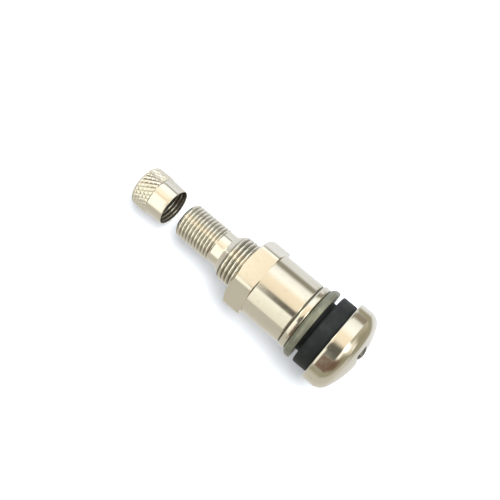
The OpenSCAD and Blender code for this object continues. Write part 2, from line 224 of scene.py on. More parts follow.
class Finishes(bpy.types.PropertyGroup):
    """Colours and gloss of the finishes, and the shares of painted shade in recesses."""

    nickel: colour("Nickel", (0.69, 0.645, 0.56), "Warm nickel plate")
    nickel_rough: number("Nickel roughness", 0.11, "Roughness of the polished plate")
    # This dark colour serves the plate's real faint stains and also the painted shade in thread and knurl bottoms,
    # the nut's groove, bore walls and the slot.
    grime_and_shade: colour("Grime", (0.085, 0.082, 0.06), "Dull film in the bottom of threads and knurling")
    stain_film: number("Stain film", 0.10, "Share of film in the plate's faint stains")
    # The shares below paint shade, in the dark colour, into recesses where less light falls: thread and knurl
    # bottoms, the nut's groove, bore walls and the slot.
    thread_painted_shade: number("Thread film", 0.7, "Share of film in the bottom of the large thread")
    tip_painted_shade: number("Tip film", 0.5, "Share of film in the bottom of the tip thread")
    knurl_painted_shade: number("Knurl film", 0.1, "Share of film in the bottom of the knurling")
    groove_painted_shade: number("Groove film", 0.9, "Share of film in the nut's turned groove")
    bore_painted_shade: number("Bore film", 0.66, "Share of film on the walls of bores")
    slot_painted_shade: number("Slot film", 0.8, "Share of film on the walls of the slot")
    washer: colour("Washer", (0.225, 0.23, 0.178), "Dull plated washer")
    rubber: colour("Rubber", (0.0145, 0.0172, 0.018), "Black rubber")
    brass: colour("Core brass", (0.72, 0.53, 0.24), "Bare brass of the core")
    seal: colour("Core seal", (0.50, 0.09, 0.06), "Red seal of the core")
    steel: colour("Spring steel", (0.58, 0.58, 0.58), "Spring wire")


class StageSettings(bpy.types.PropertyGroup):
    """Camera, floor and light."""

    aim: FloatVectorProperty(
        name="Aim", description="Point that the camera looks at", size=3, unit="LENGTH",
        default=(0.629 * MM, -2.496 * MM, 8.0 * MM),
    )
    distance: length("Distance", 126.98, "Distance from the camera to the aim")
    azimuth: angle("Azimuth", 23.296, "Direction of view: 0 looks along +Y, 90 along -X")
    elevation: angle("Elevation", 76.378, "Height of the camera over the horizon")
    roll: angle("Roll", -18.555, "Turn of the camera about its line of sight")
    lens: number("Lens", 46.8, "Focal length in millimetres on a sensor that is 36 mm wide")
    shift: FloatVectorProperty(
        name="Shift", description="Offset of the picture in its own widths", size=2, default=(0.0169, 0.0588)
    )
    floor_half: length("Floor half width", 1500.0, "Half the width of the floor")
    floor: colour("Floor", (0.80, 0.845, 0.92), "Pale floor")
    floor_lift: colour("Floor lift", (0.285, 0.295, 0.315), "Light that the floor adds for the camera")
    studio: number("Studio light", 1.42, "Strength of the studio in reflections")
    fill: number("Fill", 0.26, "Share of the studio's light that falls on matt surfaces")
    key: number("Key light", 10.0, "Watts of the soft light that casts the shadow")
    key_size: length("Key size", 680.0, "Width of the soft light")
    key_colour: colour("Key colour", (1.0, 0.985, 0.96), "Colour of the soft light")
    key_spot: FloatVectorProperty(
        name="Key spot", description="Place of the soft light", size=3, unit="LENGTH",
        default=(230.0 * MM, 170.0 * MM, 770.0 * MM),
    )


class ValveLooks(bpy.types.PropertyGroup):
    """Everything that the panel shows."""

    stem: PointerProperty(type=StemSizes)
    grommet: PointerProperty(type=GrommetSizes)
    nut: PointerProperty(type=NutSizes)
    cap: PointerProperty(type=CapSizes)
    spring: PointerProperty(type=SpringSizes)
    finish: PointerProperty(type=Finishes)
    stage: PointerProperty(type=StageSettings)


# Surfaces worked out on grids


def place(height, radius, turn):
    """Positions of points given by their height along the axis, radius and turn from straight up.

    A point is the head's centre, plus height along the axis, plus radius along the direction that
    UP takes when it is turned about the axis.
    """
    height, radius, turn = np.broadcast_arrays(height, radius, turn)
    across = np.cos(turn)[..., None] * UP + np.sin(turn)[..., None] * SIDE
    return HEAD_CENTRE + height[..., None] * AXIS + radius[..., None] * across


def line(start, end, count):
    """Points from start up to, but without, end, as (height, radius) rows at equal steps."""
    step = np.arange(count)[:, None] / count
    return np.array(start) + step * (np.array(end) - np.array(start))


def arc(centre, radius, first, last, count):
    """Points of a circle in the half-section: the centre plus radius times (cos, sin) of each angle."""
    t = np.radians(np.linspace(first, last, count))
    return np.array(centre) + radius * np.stack([np.cos(t), np.sin(t)], axis=1)


def columns(count):
    """Equal turns round the axis."""
    return np.arange(count) * TURN / count


def vee(phase):
    """Thread form over one pitch: 0 on the crest, 1 on the root, with a smooth run between them.

    The crest and the run take fixed shares of half a pitch, and the root has the rest.
    """
    crest, run = 0.28, 0.64
    wave = np.clip((2.0 * np.abs(phase - np.floor(phase) - 0.5) - crest) / run, 0.0, 1.0)
    return wave * wave * (3.0 - 2.0 * wave)


def screw(height, radius, turn, pitch, depth):
    """Radius less depth times the thread form of a right-hand helix: height over pitch less turns."""
    return radius - depth * vee(height / pitch - turn / TURN)


def carry_round(profile, cols):
    """Heights and radii of a (height, radius) profile carried round the axis: the same in each column."""
    profile = np.asarray(profile)
    return np.repeat(profile[:, :1], cols, axis=1), np.repeat(profile[:, 1:], cols, axis=1)


def outer_thread(start, top, radius, end_radius, taper, pitch, depth, turn):
    """Heights and radii of a thread on a rod that ends in a cone.

    The grooves deepen over the first part of a pitch. The radius is never more than that of the cone,
    which falls from the full radius to the end radius over the taper.
    """
    run_in = 0.4 * pitch
    rows = np.linspace(start, top, int(round((top - start) / pitch * ROWS_PER_PITCH)))[:, None]
    fade = np.clip((rows - start) / run_in, 0.0, 1.0)
    cone = end_radius + (top - rows) * (radius - end_radius) / taper
    cut = np.minimum(screw(rows, radius, turn, pitch, depth * fade), cone)
    return np.broadcast_to(rows, cut.shape), cut


def bore_thread(rows, edge, run_in, radius, pitch, depth, turn):
    """Heights and radii of a thread in a bore: grooves go outwards and fade over the run-in at the edge."""
    rows = rows[:, None]
    fade = np.clip(np.abs(rows - edge) / run_in, 0.0, 1.0)
    cut = screw(rows, radius, turn, pitch, -depth * fade)
    return np.broadcast_to(rows, cut.shape), cut


def stacked(stretches):
    """One grid of heights and one of radii from stretches that follow one another along a profile."""
    heights, radii = zip(*stretches)
    return np.concatenate(heights), np.concatenate(radii)


def new_object(name, mesh):
    """An object at the origin, unturned, that holds the mesh."""
    obj = bpy.data.objects.new(name, mesh)
    bpy.context.scene.collection.objects.link(obj)
    return obj


def skin(name, points, loop):
    """Mesh over a grid of points: rows along a profile, columns closed round the axis.

    With loop the last row joins the first. Rows drawn to one point on the axis become a pole.
    """
    rows, cols = points.shape[:2]
    row = np.arange(rows if loop else rows - 1)[:, None]
    col = np.arange(cols)[None, :]
    low, high = row * cols, (row + 1) % rows * cols
    after = (col + 1) % cols
    quads = np.stack([low + col, low + after, high + after, high + col], axis=-1).reshape(-1, 4)
    mesh = bpy.data.meshes.new(name)
    mesh.vertices.add(rows * cols)
    mesh.vertices.foreach_set("co", points.reshape(-1))
    mesh.loops.add(quads.size)
    mesh.loops.foreach_set("vertex_index", quads.reshape(-1))
    mesh.polygons.add(len(quads))
    mesh.polygons.foreach_set("loop_start", np.arange(len(quads)) * 4)
    mesh.update(calc_edges=True)
    if not loop:
        merge_points(mesh)
    return mesh


def merge_points(mesh):
    """Joins points that lie on one another, such as a pole's."""
    touching = 1e-6 * MM
    work = bmesh.new()
    work.from_mesh(mesh)
    bmesh.ops.remove_doubles(work, verts=work.verts, dist=touching)
    work.to_mesh(mesh)
    work.free()
    mesh.validate()


def shade(mesh, sharp=SHARP):
    """Smooth shading, with edges that turn by more than the angle kept sharp."""
    mesh.shade_smooth()
    mesh.set_sharp_from_angle(angle=math.radians(sharp))


def turned(name, profile):
    """Solid of revolution: the closed (height, radius) profile carried round the axis."""
    mesh = skin(name, place(*carry_round(profile, COLUMNS), columns(COLUMNS)), True)
    shade(mesh)
    return new_object(name, mesh)


def cut_box(obj, corner, size, turn):
    """Takes a box out of an object. Corner and size are along the axis, along the turn and across it."""
    signs = np.array([[0, 0, 0], [1, 0, 0], [1, 1, 0], [0, 1, 0], [0, 0, 1], [1, 0, 1], [1, 1, 1], [0, 1, 1]])
    spots = np.array(corner) + signs * np.array(size)
    along = math.cos(turn) * UP + math.sin(turn) * SIDE
    across = np.cross(AXIS, along)
    points = HEAD_CENTRE + spots[:, :1] * AXIS + spots[:, 1:2] * along + spots[:, 2:] * across
    faces = [(0, 3, 2, 1), (4, 5, 6, 7), (0, 1, 5, 4), (1, 2, 6, 5), (2, 3, 7, 6), (3, 0, 4, 7)]
    mesh = bpy.data.meshes.new("cutter")
    mesh.from_pydata(points.tolist(), [], faces)
    cutter = new_object("cutter", mesh)
    modifier = obj.modifiers.new("cut", "BOOLEAN")
    modifier.operation = "DIFFERENCE"
    modifier.solver = "EXACT"
    modifier.object = cutter
    depsgraph = bpy.context.evaluated_depsgraph_get()
    result = bpy.data.meshes.new_from_object(obj.evaluated_get(depsgraph))
    obj.modifiers.clear()
    old, obj.data = obj.data, result
    bpy.data.meshes.remove(old)
    bpy.data.objects.remove(cutter)
    bpy.data.meshes.remove(mesh)


# Shaders written as expressions


class Term:
    """One socket of a node tree. Arithmetic on it adds Math nodes to that tree."""

    def __init__(self, sheet, socket):
        self.sheet = sheet
        self.socket = socket

    def __add__(self, other):
        return self.sheet.maths("ADD", self, other)

    def __radd__(self, other):
        return self.sheet.maths("ADD", other, self)

    def __sub__(self, other):
        return self.sheet.maths("SUBTRACT", self, other)

    def __rsub__(self, other):
        return self.sheet.maths("SUBTRACT", other, self)

    def __mul__(self, other):
        return self.sheet.maths("MULTIPLY", self, other)

    def __rmul__(self, other):
        return self.sheet.maths("MULTIPLY", other, self)

    def __truediv__(self, other):
        return self.sheet.maths("DIVIDE", self, other)


class Sheet:
    """A node tree that is written as expressions."""

    def __init__(self, tree):
        self.tree = tree
        tree.nodes.clear()

    def node(self, kind, settings, values, out=0):
        """Adds a node: its settings first, ramp stops among them, then its sockets' values or links."""
        made = self.tree.nodes.new(kind)
        for key, value in settings.items():
            if key == "stops":
                self.set_stops(made.color_ramp, value)
            else:
                setattr(made, key, value)
        for key, value in values.items():
            if isinstance(value, Term):
                self.tree.links.new(value.socket, made.inputs[key])
            else:
                made.inputs[key].default_value = value
        return Term(self, made.outputs[out]) if len(made.outputs) else None

    @staticmethod
    def set_stops(ramp, stops):
        """Gives a ramp its stops, each a position and a colour."""
        while len(ramp.elements) < len(stops):
            ramp.elements.new(1.0)
        for element, (position, shade_colour) in zip(ramp.elements, stops):
            element.position = position
            element.color = (*shade_colour, 1.0)

    def maths(self, operation, first, second=0.0):
        """One Math node."""
        return self.node("ShaderNodeMath", {"operation": operation}, {0: first, 1: second})

    def larger(self, first, second):
        """The larger of two values."""
        return self.maths("MAXIMUM", first, second)

    def vector(self, operation, first, second, out="Vector"):
        """One Vector Math node."""
        return self.node("ShaderNodeVectorMath", {"operation": operation}, {0: first, 1: second}, out)

    def dot(self, vector, direction):
        """How far a vector goes along a fixed direction."""
        return self.vector("DOT_PRODUCT", vector, tuple(direction), "Value")

    def step(self, value, low, high):
        """0 below low and 1 above high, with a smooth rise between."""
        settings = {"interpolation_type": "SMOOTHSTEP"}
        return self.node("ShaderNodeMapRange", settings, {"Value": value, "From Min": low, "From Max": high})

    def window(self, value, comes, goes):
        """Rises smoothly from 0 to 1 over the pair comes, and falls back to 0 over the pair goes."""
        return self.step(value, *comes) * (1.0 - self.step(value, *goes))

    def stretch(self, value, low, high, soft):
        """1 from low to high and 0 outside, with a smooth run just inside each end."""
        return self.window(value, (low, low + soft), (high - soft, high))

    def near(self, value, middle, half, soft):
        """1 within half a width of the middle and 0 outside, with a soft edge."""
        off = self.maths("ABSOLUTE", value - middle)
        return 1.0 - self.step(off, half - soft, half + soft)

    def blend(self, factor, first, second):
        """Colour mix: first at 0, second at 1."""
        settings = {"data_type": "RGBA"}
        return self.node("ShaderNodeMix", settings, {0: factor, 6: first, 7: second}, 2)

    def noise(self, vector, scale, detail=2.0, roughness=0.5):
        """Noise of about 0 to 1 with a mean of one half."""
        values = {"Vector": vector, "Scale": scale, "Detail": detail, "Roughness": roughness}
        return self.node("ShaderNodeTexNoise", {"noise_dimensions": "3D"}, values)

    def spot(self):
        """Object coordinates counted from the head's centre."""
        coordinates = self.node("ShaderNodeTexCoord", {}, {}, "Object")
        return self.vector("SUBTRACT", coordinates, tuple(HEAD_CENTRE))

    def off_axis(self, spot, height):
        """Distance of a spot from the axis: the root of its length squared less its height squared."""
        reach = self.vector("LENGTH", spot, (0.0, 0.0, 0.0), "Value")
        return self.maths("SQRT", self.larger(reach * reach - height * height, 0.0))

    def turning(self, spot, per_metre):
        """Fine rings left by the lathe: noise that runs along the axis and is nearly even round it."""
        along = {"X": self.dot(spot, AXIS) * per_metre, "Y": self.noise(spot, scale=300.0)}
        return self.noise(self.node("ShaderNodeCombineXYZ", {}, along), scale=1.0, detail=3.0)

    def bump(self, height, strength, distance):
        """Bump from a height."""
        values = {"Height": height, "Strength": strength, "Distance": distance}
        return self.node("ShaderNodeBump", {}, values)

    def finish(self, values):
        """Principled surface with these sockets, joined to the output."""
        surface = self.node("ShaderNodeBsdfPrincipled", {}, values)
        self.node("ShaderNodeOutputMaterial", {}, {"Surface": surface})


def rgba(shade_colour, share=1.0):
    """A colour with its alpha, made darker or lighter by a share."""
    return (*(share * part for part in shade_colour), 1.0)


def material(name):
    """A new material and the sheet for its nodes."""
    made = bpy.data.materials.new(name)
    made.use_nodes = True
    return made, Sheet(made.node_tree)


def nickel_plate(name, finish, grooves, bores, slot=None):
    """Polished nickel on turned brass.

    The plate is lightly clouded and wavy, with the lathe's rings and faint real stains under it. Grooves lists
    the worked stretches as (low height, high height, outside radius, depth, share of painted shade): their
    bottoms are painted darker, as shade. Bores lists the hollows as (low height, high height, radius), with
    painted shade on their walls, darker and a little less metallic. Slot is the direction across a slot, half
    its width and its floor; its walls and floor get painted shade.
    """
    made, sheet = material(name)
    spot = sheet.spot()
    height = sheet.dot(spot, AXIS)
    radius = sheet.off_axis(spot, height)
    cloud = sheet.noise(spot, scale=260.0, detail=3.0)
    rings = sheet.turning(spot, per_metre=9000.0)
    smear = sheet.noise(spot, scale=900.0, detail=4.0, roughness=0.65)
    stains = sheet.noise(spot, scale=420.0, detail=4.0, roughness=0.6)
    # Real faint stains; the grooves, bores and slot below add painted shade to this same mask.
    film_and_shade = sheet.step(stains, 0.56, 0.78) * finish.stain_film
    for low, high, outside, depth, strength in grooves:
        sunk = sheet.step((outside - radius) / depth, 0.4, 0.95)
        film_and_shade = sheet.larger(film_and_shade, sheet.stretch(height, low, high, soft=0.2 * MM) * sunk * strength)
    # Painted shade on the walls of bores: darker and a little less metallic.
    bore_wall_shade = 0.0
    wall_edge = 0.04 * MM
    for low, high, hollow in bores:
        wall = 1.0 - sheet.step(radius, hollow, hollow + wall_edge)
        bore_wall_shade = sheet.larger(sheet.stretch(height, low, high, soft=0.1 * MM) * wall, bore_wall_shade)
    film_and_shade = sheet.larger(film_and_shade, bore_wall_shade * finish.bore_painted_shade)
    # Painted shade on the slot's walls and floor.
    if slot:
        across, half_width, slot_floor = slot
        off = sheet.maths("ABSOLUTE", sheet.dot(spot, across))
        beside = sheet.step(off, half_width, half_width + wall_edge)
        above = sheet.step(height, slot_floor, slot_floor + wall_edge)
        film_and_shade = sheet.larger(film_and_shade, (1.0 - beside) * (1.0 - above) * finish.slot_painted_shade)
    worn = sheet.blend(cloud, rgba(finish.nickel, 0.95), rgba(finish.nickel, 1.04))
    smear_gloss, film_gloss, bore_gloss, least_gloss = 0.10, 0.30, 0.20, 0.05
    gloss = finish.nickel_rough + smear_gloss * (smear - 0.5) + film_gloss * film_and_shade - bore_gloss * bore_wall_shade
    sheet.finish({
        "Base Color": sheet.blend(film_and_shade, worn, rgba(finish.grime_and_shade)),
        "Metallic": 1.0 - 0.15 * bore_wall_shade,
        "Roughness": sheet.larger(gloss, least_gloss),
        "Normal": sheet.bump(0.6 * rings + 0.4 * cloud, strength=0.10, distance=0.03 * MM),
    })
    return made


def washer_metal(finish):
    """Dull grey-green plate: grain, faint rolling marks and rubbed lighter patches."""
    made, sheet = material("washer_metal")
    spot = sheet.spot()
    grain = sheet.noise(spot, scale=6000.0, detail=3.0, roughness=0.7)
    patch = sheet.step(sheet.noise(spot, scale=500.0, detail=3.0), 0.5, 0.75)
    rings = sheet.turning(spot, per_metre=5000.0)
    rubbed = patch * 0.6 + 0.3 * grain
    sheet.finish({
        "Base Color": sheet.blend(rubbed, rgba(finish.washer, 0.82), rgba(finish.washer, 1.22)),
        "Metallic": 0.6,
        "Roughness": 0.30 + 0.14 * grain - 0.06 * patch,
        "Normal": sheet.bump(grain + rings, strength=0.22, distance=0.02 * MM),
    })
    return made


def black_rubber(name, finish):
    """Moulded rubber: fine pores, a dusty bloom in patches and a faint moulding sheen."""
    made, sheet = material(name)
    spot = sheet.spot()
    pores = sheet.noise(spot, scale=9000.0, detail=3.0, roughness=0.6)
    bloom = sheet.step(sheet.noise(spot, scale=450.0, detail=4.0, roughness=0.6), 0.45, 0.8)
    dusty = rgba([part * 2.2 + 0.004 for part in finish.rubber])
    sheet.finish({
        "Base Color": sheet.blend(bloom * 0.8, rgba(finish.rubber), dusty),
        "Roughness": 0.50 + 0.14 * pores + 0.12 * bloom,
        "Specular IOR Level": 0.22,
        "Normal": sheet.bump(pores, strength=0.25, distance=0.02 * MM),
    })
    return made


def core_brass(finish):
    """Machined brass with lathe rings and a light tarnish."""
    made, sheet = material("core_brass")
    spot = sheet.spot()
    rings = sheet.turning(spot, per_metre=12000.0)
    tarnish = sheet.step(sheet.noise(spot, scale=1500.0, detail=4.0, roughness=0.6), 0.4, 0.8)
    sheet.finish({
        "Base Color": sheet.blend(tarnish * 0.7, rgba(finish.brass), rgba(finish.brass, 0.55)),
        "Metallic": 1.0,
        "Roughness": 0.22 + 0.18 * tarnish + 0.06 * rings,
        "Normal": sheet.bump(rings, strength=0.15, distance=0.01 * MM),
    })
    return made


def seal_plastic(finish):
    """Red seal, a little waxy, with darker specks."""
    made, sheet = material("seal_plastic")
    speck = sheet.noise(sheet.spot(), scale=5000.0, detail=3.0)
    sheet.finish({
        "Base Color": sheet.blend(speck, rgba(finish.seal, 0.7), rgba(finish.seal)),
        "Roughness": 0.42 + 0.15 * speck,
        "Normal": sheet.bump(speck, strength=0.1, distance=0.01 * MM),
    })
    return made


def spring_steel(finish):
    """Drawn wire with fine streaks."""
    made, sheet = material("spring_steel")
    streak = sheet.noise(sheet.spot(), scale=8000.0, detail=3.0)
    sheet.finish({
        "Base Color": sheet.blend(streak, rgba(finish.steel, 0.75), rgba(finish.steel)),
        "Metallic": 1.0,
        "Roughness": 0.24 + 0.14 * streak,
        "Normal": sheet.bump(streak, strength=0.08, distance=0.01 * MM),
    })
    return made


BLACK = (0.0, 0.0, 0.0, 1.0)
WHITE = (1.0, 1.0, 1.0, 1.0)
# Distances over which the floor's lift for the camera grows to the far one.
FLOOR_FAR = (90.0 * MM, 260.0 * MM)
FAR_LIFT = (0.75, 0.75, 0.75)
# Painted reflection, glowing for glossy rays only: a sheen in front of the valve, one behind it, and a darker one.
SHEEN_FRONT = (0.73, 0.71, 0.625)
SHEEN_BEHIND = (1.02, 1.05, 1.08)
SHEEN_DULL = (0.46, 0.44, 0.33)
FRONT_TO_BEHIND = (-25.0 * MM, 25.0 * MM)
# The darker sheen lies past the head on the far side, and on both sides of the head further out.
PAST_HEAD = (40.0 * MM, 60.0 * MM)
PAST_HEAD_ACROSS = (-15.0 * MM, 15.0 * MM)
BY_HEAD = (5.0 * MM, 22.0 * MM)
BY_HEAD_ACROSS = (28.0 * MM, 55.0 * MM)


def floor_surface(stage):
    """Pale matt floor that keeps the shadow and is lifted to white for the camera.

    For glossy rays it is a painted reflection instead, a glowing sheet: white close behind the valve, darker in
    front and past the head.
    """
    made, sheet = material("floor")
    coordinates = sheet.node("ShaderNodeTexCoord", {}, {}, "Object")
    grain = sheet.noise(coordinates, scale=40.0)
    pale = sheet.blend(grain * 0.04, rgba(stage.floor), WHITE)
    diffuse = sheet.node("ShaderNodeBsdfDiffuse", {}, {"Color": pale})
    camera = sheet.node("ShaderNodeLightPath", {}, {}, "Is Camera Ray")
    away = sheet.vector("LENGTH", coordinates, (0.0, 0.0, 0.0), "Value")
    lifted = sheet.blend(sheet.step(away, *FLOOR_FAR), rgba(stage.floor_lift), rgba(FAR_LIFT))
    lift = sheet.node("ShaderNodeEmission", {}, {"Color": sheet.blend(camera, BLACK, lifted)})
    seen = sheet.node("ShaderNodeAddShader", {}, {0: diffuse, 1: lift})
    behind = sheet.dot(coordinates, SIDE)
    ahead = sheet.dot(coordinates, -AXIS)
    close = sheet.blend(sheet.step(behind, *FRONT_TO_BEHIND), rgba(SHEEN_FRONT), rgba(SHEEN_BEHIND))
    past = sheet.step(ahead, *PAST_HEAD) * sheet.step(behind, *PAST_HEAD_ACROSS)
    off = sheet.maths("ABSOLUTE", behind)
    beside = sheet.step(ahead, *BY_HEAD) * sheet.step(off, *BY_HEAD_ACROSS)
    sheen = sheet.blend(sheet.larger(past, beside), close, rgba(SHEEN_DULL))
    # Painted reflection: glossy rays see the floor glowing in these colours instead of lit.
    mirrored = sheet.node("ShaderNodeEmission", {}, {"Color": sheen})
    glossy = sheet.node("ShaderNodeLightPath", {}, {}, "Is Glossy Ray")
    both = sheet.node("ShaderNodeMixShader", {}, {0: glossy, 1: seen, 2: mirrored})
    sheet.node("ShaderNodeOutputMaterial", {}, {"Surface": both})
    return made


# Light round the valve by the angle about its axis, in degrees from straight up: positive angles
# lie to the valve's right as it is seen from the head, and each colour is that of what hangs there.
STUDIO_BANDS = (
    (-180.0, (0.76, 0.78, 0.81)),
    (-98.0, (0.74, 0.75, 0.76)),
    (-80.0, (0.74, 0.75, 0.73)),
    (-56.0, (0.94, 0.96, 0.92)),
    (-36.0, (1.07, 1.10, 1.06)),
    (-26.0, (1.05, 1.04, 0.94)),
    (-15.0, (0.97, 0.87, 0.70)),
    (14.0, (0.90, 0.80, 0.63)),
    (30.0, (0.92, 0.88, 0.75)),
    (42.0, (1.00, 1.02, 0.93)),
    (60.0, (0.92, 0.92, 0.82)),
    (86.0, (0.84, 0.82, 0.72)),
    (97.0, (0.53, 0.51, 0.44)),
    (180.0, (0.53, 0.51, 0.46)),
)
# A patch of the studio has an angle, with the half width and softness of its edges in degrees, the reaches
# over which it comes in and goes out, and a colour. A reach is the part of a ray that points from the tip
# to the head, so it runs from -1 to 1, and what comes in at ALWAYS is there from the first.
ALWAYS = (-1.10, -1.00)
# Cooler lights towards the tip.
TIP_WARD = (-0.22, -0.16)
TIP_LIGHTS = (
    ((48.0, 33.0, 8.0), ALWAYS, TIP_WARD, (1.15, 1.18, 1.07)),
    ((-15.0, 14.0, 10.0), ALWAYS, TIP_WARD, (1.06, 1.02, 0.87)),
    ((-42.0, 18.0, 8.0), ALWAYS, TIP_WARD, (1.06, 1.13, 1.14)),
    ((-78.0, 14.0, 8.0), ALWAYS, TIP_WARD, (0.79, 0.845, 0.89)),
)
# The head's end of the studio: the reaches over which it begins and darkens, and its colours.
HEAD_END = (0.15, 0.42)
HEAD_DARKENS = (0.45, 0.85)
HEAD_PALE = (0.44, 0.41, 0.32)
HEAD_DARK = (0.30, 0.285, 0.20)
# Dark gaps between the soft boxes, from the cap's part of the studio to the head's.
SLEEVE_START = (-0.055, -0.03)
STUDIO_GAPS = (
    ((-55.0, 4.5, 2.5), ALWAYS, (-0.32, -0.29), (0.12, 0.13, 0.12)),
    ((-63.0, 4.5, 3.5), (-0.32, -0.29), (-0.21, -0.17), (0.28, 0.28, 0.24)),
    ((-74.0, 12.0, 8.0), (-0.21, -0.17), (-0.06, -0.03), (0.27, 0.26, 0.21)),
    ((28.0, 9.5, 5.0), (-0.158, -0.143), (-0.06, -0.03), (0.11, 0.10, 0.085)),
    ((-83.0, 16.0, 6.0), SLEEVE_START, HEAD_END, (0.27, 0.24, 0.185)),
    ((32.0, 21.0, 8.0), SLEEVE_START, HEAD_END, (0.10, 0.10, 0.083)),
    ((73.0, 24.0, 6.0), SLEEVE_START, HEAD_END, (0.15, 0.095, 0.068)),
)
# The tip's end of the studio: the reaches over which it gives way, and its colour.
TIP_END = (-0.75, -0.45)
TIP_SIDE = (0.54, 0.55, 0.50)
# A brown patch and small lights over the head, and a narrow ceiling light that fine ridges pick up.
CEILING = (3.0, 12.0, 8.0)
CEILING_WHITE = (1.95, 1.93, 1.76)
SMALL_LIGHTS = (
    ((68.0, 24.0, 14.0), (0.10, 0.30), (0.75, 1.00), (0.16, 0.105, 0.076)),
    ((-8.0, 28.0, 16.0), (0.54, 0.78), (0.86, 1.10), (0.80, 0.765, 0.66)),
    ((24.0, 19.0, 8.0), (0.29, 0.49), (0.59, 0.79), (1.05, 1.03, 0.95)),
    ((-37.0, 16.0, 14.0), (0.855, 0.945), (0.955, 1.045), (0.95, 0.93, 0.85)),
    (CEILING, (0.10, 0.25), (0.72, 0.90), CEILING_WHITE),
    (CEILING, ALWAYS, (-0.48, -0.38), CEILING_WHITE),
)


def studio_world(stage):
    """A studio of long soft boxes, a warm ceiling and dark gaps, laid along the valve's axis.

    A ray is placed by its angle about the axis and by its reach. Polished metal sees the studio in full,
    matt surfaces a share of it, and the camera white.
    """
    world = bpy.data.worlds.new("studio")
    world.use_nodes = True
    bpy.context.scene.world = world
    sheet = Sheet(world.node_tree)
    ray = sheet.node("ShaderNodeTexCoord", {}, {}, "Generated")
    turn = sheet.maths("ARCTAN2", sheet.dot(ray, -SIDE), sheet.dot(ray, UP)) * (360.0 / TURN)
    reach = sheet.dot(ray, -AXIS)

    def hang(room, patches):
        for angles, comes, goes, shade_colour in patches:
            share = sheet.near(turn, *angles) * sheet.window(reach, comes, goes)
            room = sheet.blend(share, room, rgba(shade_colour))
        return room

    stops = [((degrees + 180.0) / 360.0, shade_colour) for degrees, shade_colour in STUDIO_BANDS]
    room = sheet.node("ShaderNodeValToRGB", {"stops": stops}, {0: turn / 360.0 + 0.5}, "Color")
    room = hang(room, TIP_LIGHTS + STUDIO_GAPS)
    over_head = sheet.blend(sheet.step(reach, *HEAD_DARKENS), rgba(HEAD_PALE), rgba(HEAD_DARK))
    room = sheet.blend(sheet.step(reach, *HEAD_END), room, over_head)
    room = sheet.blend(sheet.step(reach, *TIP_END), rgba(TIP_SIDE), room)
    room = hang(room, SMALL_LIGHTS)
    matt = sheet.node("ShaderNodeLightPath", {}, {}, "Is Diffuse Ray")
    shared = sheet.blend(matt * (1.0 - stage.fill), room, BLACK)
    camera = sheet.node("ShaderNodeLightPath", {}, {}, "Is Camera Ray")
    seen = sheet.blend(camera, shared, rgba(WHITE[:3], 1.0 / stage.studio))
    light = sheet.node("ShaderNodeBackground", {}, {"Color": seen, "Strength": stage.studio})
    sheet.node("ShaderNodeOutputWorld", {}, {"Surface": light})


# Pieces


def dress(obj, body, node, surface):
    """Gives a new piece its finish in its one material slot, puts it on its body and hides the CAD node that it
    stands for.
    """
    obj.data.materials.clear()
    obj.data.materials.append(surface)
    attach(obj, body)
    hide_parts(node)


def dress_node(node, surface):
    """Gives a CAD node a better material."""
    obj = frame["nodes"][node]
    if not obj.material_slots:
        obj.data.materials.append(surface)
    for slot in obj.material_slots:
        slot.material = surface


def head_profile(s):
    """Half-section of the head from the air hole to the shank.

    A crown arc runs into a shoulder arc without a corner: the crown's centre lies on the axis where
    its distance to the shoulder's centre is the difference of the two radii.
    """
    edge = math.degrees(s.head_edge)
    middle = (
        s.head_side - s.shoulder * math.sin(s.head_edge),
        s.head_radius - s.shoulder * math.cos(s.head_edge),
    )
    end = s.head_side + s.head_dome
    rise = end - middle[0]
    crown = (middle[1] ** 2 + rise**2 - s.shoulder**2) / (2.0 * (rise - s.shoulder))
    lean = math.degrees(math.atan2(middle[1], middle[0] - (end - crown)))
    hole = math.degrees(math.asin(s.air_radius / crown))
    outer = np.concatenate([
        arc((end - crown, 0.0), crown, hole, lean, 16),
        arc(middle, s.shoulder, lean, 90.0 - edge, 16)[1:],
        line((s.head_side - 0.5 * HOLD, s.head_radius), (s.rim_round, s.head_radius), 6),
        arc((s.rim_round, s.head_radius - s.rim_round), s.rim_round, 90.0, 180.0, 6),
    ])
    outer[:, 0] *= -1.0
    under = line((0.0, s.head_radius - s.rim_round - HOLD), (0.0, s.shank_radius), 6)
    return np.concatenate([outer, under])


